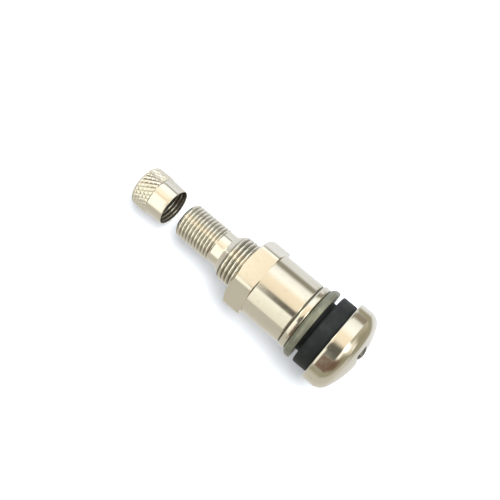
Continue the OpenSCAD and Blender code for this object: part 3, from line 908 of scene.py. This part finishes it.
def stem_surface(s, turn):
    """Heights and radii of the whole stem as one closed profile, carried round the axis.

    It goes from the air hole over the head, up the shank, both outer threads and the neck between them to
    the tip, and back through the threaded mouth, the tapered seat, the chamber and the air hole.
    """
    cols = turn.shape[1]
    fillet = 0.15 * MM
    tip_run_out = 0.2 * MM
    mouth = 0.3 * MM
    mouth_run_out = 0.28 * MM
    chamber_slope = 0.5 * MM
    shank_top = s.thread_start - (s.thread_radius - s.shank_radius)
    tip_end = s.tip_radius - s.tip_chamfer
    mouth_rows = np.linspace(s.tip_top - mouth, s.seat_top + mouth_run_out, 90)
    return stacked([
        carry_round(head_profile(s), cols),
        carry_round([(0.0, s.shank_radius), (shank_top, s.shank_radius)], cols),
        outer_thread(
            s.thread_start, s.thread_top, s.thread_radius, s.thread_end_radius, s.thread_taper,
            s.thread_pitch, s.thread_depth, turn,
        ),
        carry_round([
            (s.thread_top, s.thread_end_radius - LAP),
            (s.thread_top, s.neck_radius + fillet),
            (s.thread_top + fillet / 3.0, s.neck_radius + fillet / 3.0),
            (s.thread_top + fillet, s.neck_radius),
            (s.thread_top + fillet + HOLD, s.neck_radius),
            (s.tip_start - tip_run_out, s.neck_radius),
        ], cols),
        outer_thread(
            s.tip_start, s.tip_top, s.tip_radius, tip_end, s.tip_chamfer, s.tip_pitch, s.tip_depth, turn
        ),
        carry_round([(s.tip_top, tip_end - LAP), (s.tip_top, s.bore_radius + mouth)], cols),
        bore_thread(
            mouth_rows, mouth_rows[-1], s.bore_pitch, s.bore_radius, s.bore_pitch, s.bore_depth, turn
        ),
        carry_round([
            (s.seat_top, s.seat_radius),
            (s.chamber_top, s.chamber_radius),
            (s.chamber_foot, s.chamber_radius),
            (s.chamber_foot - chamber_slope, s.air_radius),
            (0.0, s.air_radius),
        ], cols),
    ])


class VALVE_OT_stem(bpy.types.Operator):
    """Make the stem with its domed head, slot and threads"""

    bl_idname = "valve.make_stem"
    bl_label = "Stem"

    def execute(self, context):
        looks = context.scene.valve_looks
        s, finish = looks.stem, looks.finish
        turn = columns(COLUMNS)[None, :]
        stem = new_object("stem", skin("stem", place(*stem_surface(s, turn), turn), True))
        end = s.head_side + s.head_dome
        cut_box(
            stem,
            (-end - MM, -s.head_radius, -s.slot_width / 2.0),
            (s.slot_depth + MM, 2.0 * s.head_radius, s.slot_width),
            s.slot_turn,
        )
        shade(stem.data)
        # Painted shade in both threads' bottoms, stopping short of the large thread's cone, on the walls of the
        # air hole and the mouth, and in the slot.
        bright_cone = 0.6 * s.thread_taper
        grooves = [
            (s.thread_start, s.thread_top - bright_cone, s.thread_radius, s.thread_depth, finish.thread_painted_shade),
            (s.tip_start, s.tip_top, s.tip_radius, s.tip_depth, finish.tip_painted_shade),
        ]
        bores = [
            (-end - MM, s.chamber_foot, s.air_radius + 0.5 * HOLD),
            (s.chamber_foot - MM, s.tip_top + MM, s.bore_radius + s.bore_depth + 1.5 * LAP),
        ]
        across = np.cross(AXIS, math.cos(s.slot_turn) * UP + math.sin(s.slot_turn) * SIDE)
        slot = (across, s.slot_width / 2.0, s.slot_depth - end)
        plate = nickel_plate("nickel_stem", finish, grooves, bores, slot)
        dress(stem, "stem", "valve_stem", plate)
        return {"FINISHED"}


class VALVE_OT_grommet(bpy.types.Operator):
    """Make the rubber grommet"""

    bl_idname = "valve.make_grommet"
    bl_label = "Grommet"

    def execute(self, context):
        looks = context.scene.valve_looks
        s = looks.grommet
        ring = s.flange_radius - s.edge_round
        fillet = 0.2 * MM
        profile = np.concatenate([
            line((s.flange_foot, s.bore_radius), (s.flange_foot, ring), 6),
            arc((s.flange_foot + s.edge_round, ring), s.edge_round, 180.0, 90.0, 8),
            arc((s.flange_top - s.edge_round, ring), s.edge_round, 90.0, 0.0, 8),
            line((s.flange_top, ring - HOLD), (s.flange_top, s.neck_radius + fillet), 4),
            arc((s.flange_top + fillet, s.neck_radius + fillet), fillet, 180.0, 270.0, 5),
            line((s.flange_top + fillet + 0.5 * HOLD, s.neck_radius), (s.neck_top, s.neck_radius), 4),
            line((s.neck_top, s.neck_radius), (s.neck_top, s.bore_radius), 3),
            line((s.neck_top, s.bore_radius), (s.flange_foot, s.bore_radius), 4),
        ])
        grommet = turned("grommet", profile)
        dress(grommet, "stem", "rubber_grommet", black_rubber("black_rubber", looks.finish))
        return {"FINISHED"}


class VALVE_OT_washer(bpy.types.Operator):
    """Make the washer"""

    bl_idname = "valve.make_washer"
    bl_label = "Washer"

    def execute(self, context):
        looks = context.scene.valve_looks
        s = looks.grommet
        low, high, edge = s.washer_foot, s.washer_top, s.washer_edge
        profile = np.concatenate([
            line((low, s.washer_bore), (low, s.washer_radius - edge), 5),
            arc((low + edge, s.washer_radius - edge), edge, 180.0, 90.0, 5),
            arc((high - s.washer_round, s.washer_radius - s.washer_round), s.washer_round, 90.0, 0.0, 12),
            line((high, s.washer_radius - s.washer_round - HOLD), (high, s.washer_bore), 5),
            line((high, s.washer_bore), (low, s.washer_bore), 4),
        ])
        washer = turned("washer_ring", profile)
        dress(washer, "washer", "washer", washer_metal(looks.finish))
        return {"FINISHED"}


# Half the turn that one side of the hexagon takes.
HALF_FLAT = TURN / 12.0


def hexagon_edge(apothem, rounding):
    """Distance from the axis to the middle of an edge's rounding, and half the turn that it takes."""
    middle = (apothem - rounding) / math.cos(HALF_FLAT)
    half = math.atan2(rounding * math.sin(HALF_FLAT), middle + rounding * math.cos(HALF_FLAT))
    return middle, half


def hexagon_turns(apothem, rounding):
    """Turns round the axis at the points of a hexagon: twenty steps on each flat, ten on each rounding."""
    half = hexagon_edge(apothem, rounding)[1]
    flat = np.linspace(-HALF_FLAT + half, HALF_FLAT - half, 21)
    edge = np.linspace(HALF_FLAT - half, HALF_FLAT + half, 11)[1:-1]
    return (columns(6)[:, None] + np.concatenate([flat, edge])[None, :]).reshape(-1)


def hexagon_radius(turn, apothem, rounding):
    """Distance from the axis to a hexagon whose first flat faces straight up and whose edges are rounded.

    On a flat it is the apothem over the cosine of the turn from the flat's middle. On a rounding it is
    where the ray at that turn leaves the rounding's circle.
    """
    middle, half = hexagon_edge(apothem, rounding)
    off = (turn + HALF_FLAT) % (2.0 * HALF_FLAT) - HALF_FLAT
    corner = np.minimum(HALF_FLAT - np.abs(off), half)
    edge = middle * np.cos(corner) + np.sqrt(rounding**2 - (middle * np.sin(corner)) ** 2)
    return np.where(HALF_FLAT - np.abs(off) < half, edge, apothem / np.cos(off))


def nut_surface(s, pitch, turn):
    """Heights and radii of the nut as one closed profile: foot, flange, groove, sleeve, hexagon and bore.

    All but the hexagon is carried round the axis. Each end of the hexagon is drawn in by how far a point
    stands past the flats, times the tangent of that end's chamfer.
    """
    cols = turn.shape[1]
    groove = s.sleeve_radius - s.groove_depth
    groove_top = s.flange_top + s.groove_width
    flange_edge = 2.0 * s.edge
    rim = s.hex_apothem - 1.5 * LAP
    bore_foot = s.bore_radius + s.thread_depth
    bore_end = s.hex_top - s.thread_length
    run_out = 0.3 * MM
    body = np.concatenate([
        line((s.foot, bore_foot), (s.foot, s.flange_radius - s.foot_edge), 5),
        arc((s.foot + s.foot_edge, s.flange_radius - s.foot_edge), s.foot_edge, 180.0, 90.0, 7),
        arc((s.flange_top - flange_edge, s.flange_radius - flange_edge), flange_edge, 90.0, 0.0, 6),
        [(s.flange_top, groove + LAP), (s.flange_top + LAP, groove)],
        [(groove_top - LAP, groove), (groove_top, groove + LAP)],
        arc((groove_top + s.edge, s.sleeve_radius - s.edge), s.edge, 180.0, 90.0, 4),
        line((groove_top + 2.0 * s.edge, s.sleeve_radius), (s.hex_foot, s.sleeve_radius), 12),
        [(s.hex_foot, s.sleeve_radius), (s.hex_foot, rim)],
    ])
    flat = hexagon_radius(turn, s.hex_apothem, s.hex_round)
    past_flat = flat - s.hex_apothem
    low = s.hex_foot + past_flat * math.tan(s.foot_chamfer)
    high = s.hex_top - past_flat * math.tan(s.chamfer)
    rise = np.linspace(0.0, 1.0, 8)[:, None]
    bore_rows = np.linspace(s.hex_top - s.mouth, bore_end, 80)
    return stacked([
        carry_round(body, cols),
        (low + rise * (high - low), np.repeat(flat, len(rise), axis=0)),
        carry_round(np.linspace((s.hex_top, rim), (s.hex_top, s.bore_radius + s.mouth), 5), cols),
        bore_thread(bore_rows, bore_rows[0], BORE_RUN_IN, s.bore_radius, pitch, s.thread_depth, turn),
        carry_round([(bore_end - run_out, bore_foot)], cols),
    ])


class VALVE_OT_nut(bpy.types.Operator):
    """Make the nut with its foot flange, sleeve and hexagon"""

    bl_idname = "valve.make_nut"
    bl_label = "Nut"

    def execute(self, context):
        looks = context.scene.valve_looks
        s, finish = looks.nut, looks.finish
        turn = hexagon_turns(s.hex_apothem, s.hex_round)[None, :]
        mesh = skin("nut", place(*nut_surface(s, looks.stem.thread_pitch, turn), turn), True)
        shade(mesh, sharp=24.0)
        nut = new_object("nut", mesh)
        # Painted shade in the turned groove and on the bore's walls.
        margin = 0.2 * MM
        groove_top = s.flange_top + s.groove_width
        grooves = [
            (s.flange_top - margin, groove_top + margin, s.sleeve_radius, s.groove_depth, finish.groove_painted_shade)
        ]
        bores = [(s.foot - MM, s.hex_top - HOLD, s.bore_radius + s.thread_depth + LAP)]
        plate = nickel_plate("nickel_nut", finish, grooves, bores)
        dress(nut, "nut", "sleeve_nut", plate)
        return {"FINISHED"}


def knurl(height, turn, s):
    """Depth, from 0 to 1, of a diamond knurl: two sets of V grooves that cross at the knurl's angle.

    A set's phase counts its teeth round the axis, moved one way or the other by the lead at that height.
    A groove is deepest where the phase is a whole number.
    """
    main_width, cross_width, cross_depth = 0.42, 0.35, 0.4
    lead = math.tan(s.knurl_angle) / s.band_radius * height
    phases = [s.knurl_count * (turn + way * lead) / TURN for way in (1.0, -1.0)]
    main, cross = [1.0 - 2.0 * np.abs(phase % 1.0 - 0.5) for phase in phases]
    first = np.clip(1.0 - main / main_width, 0.0, 1.0)
    second = cross_depth * np.clip(1.0 - cross / cross_width, 0.0, 1.0)
    return np.maximum(first, second)


def cap_surface(s, pitch, turn):
    """Heights and radii of the cap, from the middle of its closed end out to the mouth and in again.

    The profile is carried round the axis. The knurl's depth is taken off the band, less and less towards
    its foot, and off the rounding of the closed end, less and less towards its middle.
    """
    cols = turn.shape[1]
    ring = s.band_radius - s.end_round
    inner_end = s.top - s.end_wall
    band_run_out, band_edge, band_bevel = 0.3 * MM, 0.12 * MM, 0.14 * MM
    lip, inner_lip = 0.12 * MM, 0.08 * MM
    end = np.concatenate([
        line((s.top, 0.0), (s.top, ring), 6),
        arc((s.top - s.end_round, ring), s.end_round, 0.0, 90.0, 12),
    ])
    end_height, end_radius = carry_round(end, cols)
    end_share = np.clip((end_radius - ring) / s.end_round, 0.0, 1.0) ** 2
    band = np.linspace(s.top - s.end_round - LAP, s.band_foot + band_edge, 84)[:, None]
    band_share = np.clip((band - s.band_foot) / band_run_out, 0.0, 1.0)
    band_radius = s.band_radius - s.knurl_depth * knurl(band, turn, s) * band_share
    skirt = np.concatenate([
        [(s.band_foot, s.band_radius - band_bevel), (s.band_foot, s.skirt_radius)],
        line((s.band_foot - 0.5 * HOLD, s.skirt_radius), (s.mouth_height + lip, s.mouth_radius), 10),
        [(s.mouth_height + 0.5 * HOLD, s.mouth_radius - LAP)],
        [(s.mouth_height, s.mouth_radius - 0.5 * lip), (s.mouth_height, s.bore_radius + inner_lip)],
    ])
    thread_rows = np.linspace(s.mouth_height + HOLD, s.seal_room - HOLD, 90)
    inside = np.concatenate([
        [(s.seal_room, s.bore_radius), (s.seal_room, s.seal_radius), (inner_end, s.seal_radius)],
        line((inner_end, s.seal_radius - 0.5 * HOLD), (inner_end, 0.0), 5),
        [(inner_end, 0.0)],
    ])
    return stacked([
        (end_height, end_radius - s.knurl_depth * knurl(end_height, turn, s) * end_share),
        (np.broadcast_to(band, band_radius.shape), band_radius),
        carry_round(skirt, cols),
        bore_thread(thread_rows, thread_rows[0], BORE_RUN_IN, s.bore_radius, pitch, s.bore_depth, turn),
        carry_round(inside, cols),
    ])


class VALVE_OT_cap(bpy.types.Operator):
    """Make the cap with its knurled band"""

    bl_idname = "valve.make_cap"
    bl_label = "Cap"

    def execute(self, context):
        looks = context.scene.valve_looks
        s, finish = looks.cap, looks.finish
        columns_per_tooth = 12
        turn = columns(s.knurl_count * columns_per_tooth)[None, :]
        # The profile runs from the closed end to the mouth and in again, so the turn runs backwards.
        points = place(*cap_surface(s, looks.stem.tip_pitch, turn), turn)[:, ::-1]
        mesh = skin("cap", points, False)
        shade(mesh, sharp=28.0)
        cap = new_object("cap", mesh)
        # Painted shade in the bottoms of the knurling and on the walls inside the cap.
        inner_end = s.top - s.end_wall
        behind_end = 0.15 * MM
        grooves = [(s.band_foot, s.top + MM, s.band_radius, s.knurl_depth, finish.knurl_painted_shade)]
        bores = [(s.mouth_height, inner_end + behind_end, s.bore_radius + s.bore_depth + LAP)]
        plate = nickel_plate("nickel_cap", finish, grooves, bores)
        dress(cap, "cap", "cap_shell", plate)
        dress_node("cap_seal", black_rubber("cap_rubber", finish))
        return {"FINISHED"}


class VALVE_OT_core(bpy.types.Operator):
    """Finish the valve core and wind its spring"""

    bl_idname = "valve.make_core"
    bl_label = "Core"

    def execute(self, context):
        looks = context.scene.valve_looks
        brass = core_brass(looks.finish)
        for node in ("core_plug", "core_barrel", "core_pin", "poppet_cup"):
            dress_node(node, brass)
        dress_node("poppet_seal", black_rubber("poppet_rubber", looks.finish))
        dress_node("barrel_seal", seal_plastic(looks.finish))
        self.wind_spring(looks)
        return {"FINISHED"}

    def wind_spring(self, looks):
        """Wire carried along a helix: each ring of points lies in the half-section at its turn.

        The height rises by little more than a wire in the closed first and last turns and evenly between.
        """
        s = looks.spring
        spots = np.empty(len(frame["nodes"]["core_spring"].data.vertices) * 3)
        frame["nodes"]["core_spring"].data.vertices.foreach_get("co", spots)
        heights = (spots.reshape(-1, 3) - HEAD_CENTRE) @ AXIS
        foot, top = heights.min() + s.wire_radius, heights.max() - s.wire_radius
        steps_per_turn, sides = 40, 14
        turns = np.linspace(0.0, s.turns, s.turns * steps_per_turn + 1)[:, None]
        closed = 2.2 * s.wire_radius
        rise = np.interp(turns, [0.0, 1.0, s.turns - 1.0, s.turns], [foot, foot + closed, top - closed, top])
        round_wire = columns(sides)[None, :]
        points = place(
            rise + s.wire_radius * np.sin(round_wire),
            s.coil_radius + s.wire_radius * np.cos(round_wire),
            turns * TURN,
        )
        ends = [np.repeat(points[i].mean(axis=0)[None, None, :], sides, axis=1) for i in (0, -1)]
        mesh = skin("spring", np.concatenate([ends[0], points, ends[1]]), False)
        shade(mesh, sharp=40.0)
        spring = new_object("spring", mesh)
        dress(spring, "core_barrel", "core_spring", spring_steel(looks.finish))
        press = next(j for j in frame["joints"] if j["name"] == "pin_press")
        whole = heights.max() - heights.min()
        (whole - press["range_m"][1]) / whole
        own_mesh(spring)


class VALVE_OT_stage(bpy.types.Operator):
    """Set the floor, the light and the camera"""

    bl_idname = "valve.set_stage"
    bl_label = "Stage"

    def execute(self, context):
        stage = context.scene.valve_looks.stage
        context.scene.view_settings.view_transform = "Standard"
        self.lay_floor(stage)
        studio_world(stage)
        self.hang_key(context, stage)
        self.set_camera(context, stage)
        return {"FINISHED"}

    def lay_floor(self, stage):
        """A square sheet at the height on which the valve lies."""
        half = stage.floor_half
        mesh = bpy.data.meshes.new("floor")
        corners = [(-half, -half, 0.0), (half, -half, 0.0), (half, half, 0.0), (-half, half, 0.0)]
        mesh.from_pydata(corners, [], [(0, 1, 2, 3)])
        mesh.materials.append(floor_surface(stage))
        new_object("floor", mesh)

    def hang_key(self, context, stage):
        """Broad soft light over the valve, hidden from the polished metal, that casts the shadow."""
        data = bpy.data.lights.new("key", "AREA")
        data.energy = stage.key
        data.size = stage.key_size
        data.color = stage.key_colour
        key = bpy.data.objects.new("key", data)
        context.scene.collection.objects.link(key)
        key.visible_glossy = False
        spot = Vector(stage.key_spot)
        key.matrix_world = Matrix.Translation(spot) @ spot.to_track_quat("Z", "Y").to_matrix().to_4x4()

    def set_camera(self, context, stage):
        """Camera that looks at the aim from the azimuth and elevation, rolled about its line of sight."""
        flat = math.cos(stage.elevation)
        look = Vector((
            -math.sin(stage.azimuth) * flat, math.cos(stage.azimuth) * flat, -math.sin(stage.elevation)
        ))
        level = look.cross(Vector((0.0, 0.0, 1.0))).normalized()
        upright = level.cross(look)
        right = level * math.cos(stage.roll) - upright * math.sin(stage.roll)
        above = level * math.sin(stage.roll) + upright * math.cos(stage.roll)
        turn = Matrix((right, above, -look)).transposed().to_4x4()
        data = bpy.data.cameras.new("camera")
        data.sensor_width = SENSOR
        data.lens = stage.lens
        data.shift_x, data.shift_y = stage.shift
        data.clip_start = 10.0 * MM
        camera = bpy.data.objects.new("camera", data)
        context.scene.collection.objects.link(camera)
        camera.matrix_world = Matrix.Translation(Vector(stage.aim) - look * stage.distance) @ turn
        context.scene.camera = camera


class VALVE_PT_looks(bpy.types.Panel):
    """Lists the pieces and what can be changed about them"""

    bl_label = "Tyre valve"
    bl_idname = "VALVE_PT_looks"
    bl_space_type = "VIEW_3D"
    bl_region_type = "UI"
    bl_category = "Tyre valve"

    def draw(self, context):
        looks = context.scene.valve_looks
        for operator in OPERATORS:
            self.layout.operator(operator.bl_idname)
        for group in ValveLooks.__annotations__:
            box = self.layout.box()
            box.label(text=group.capitalize())
            settings = getattr(looks, group)
            for key in settings.__annotations__:
                box.prop(settings, key)


GROUPS = (StemSizes, GrommetSizes, NutSizes, CapSizes, SpringSizes, Finishes, StageSettings, ValveLooks)
OPERATORS = (
    VALVE_OT_stem,
    VALVE_OT_grommet,
    VALVE_OT_washer,
    VALVE_OT_nut,
    VALVE_OT_cap,
    VALVE_OT_core,
    VALVE_OT_stage,
)
CLASSES = (*GROUPS, *OPERATORS, VALVE_PT_looks)


def register():
    for cls in CLASSES:
        bpy.utils.register_class(cls)
    bpy.types.Scene.valve_looks = PointerProperty(type=ValveLooks)


def unregister():
    del bpy.types.Scene.valve_looks
    for cls in reversed(CLASSES):
        bpy.utils.unregister_class(cls)


def main():
    register()
    bpy.ops.valve.make_stem()
    bpy.ops.valve.make_grommet()
    bpy.ops.valve.make_washer()
    bpy.ops.valve.make_nut()
    bpy.ops.valve.make_cap()
    bpy.ops.valve.make_core()
    bpy.ops.valve.set_stage()
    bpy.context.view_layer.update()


if __name__ == "__main__":
    main()
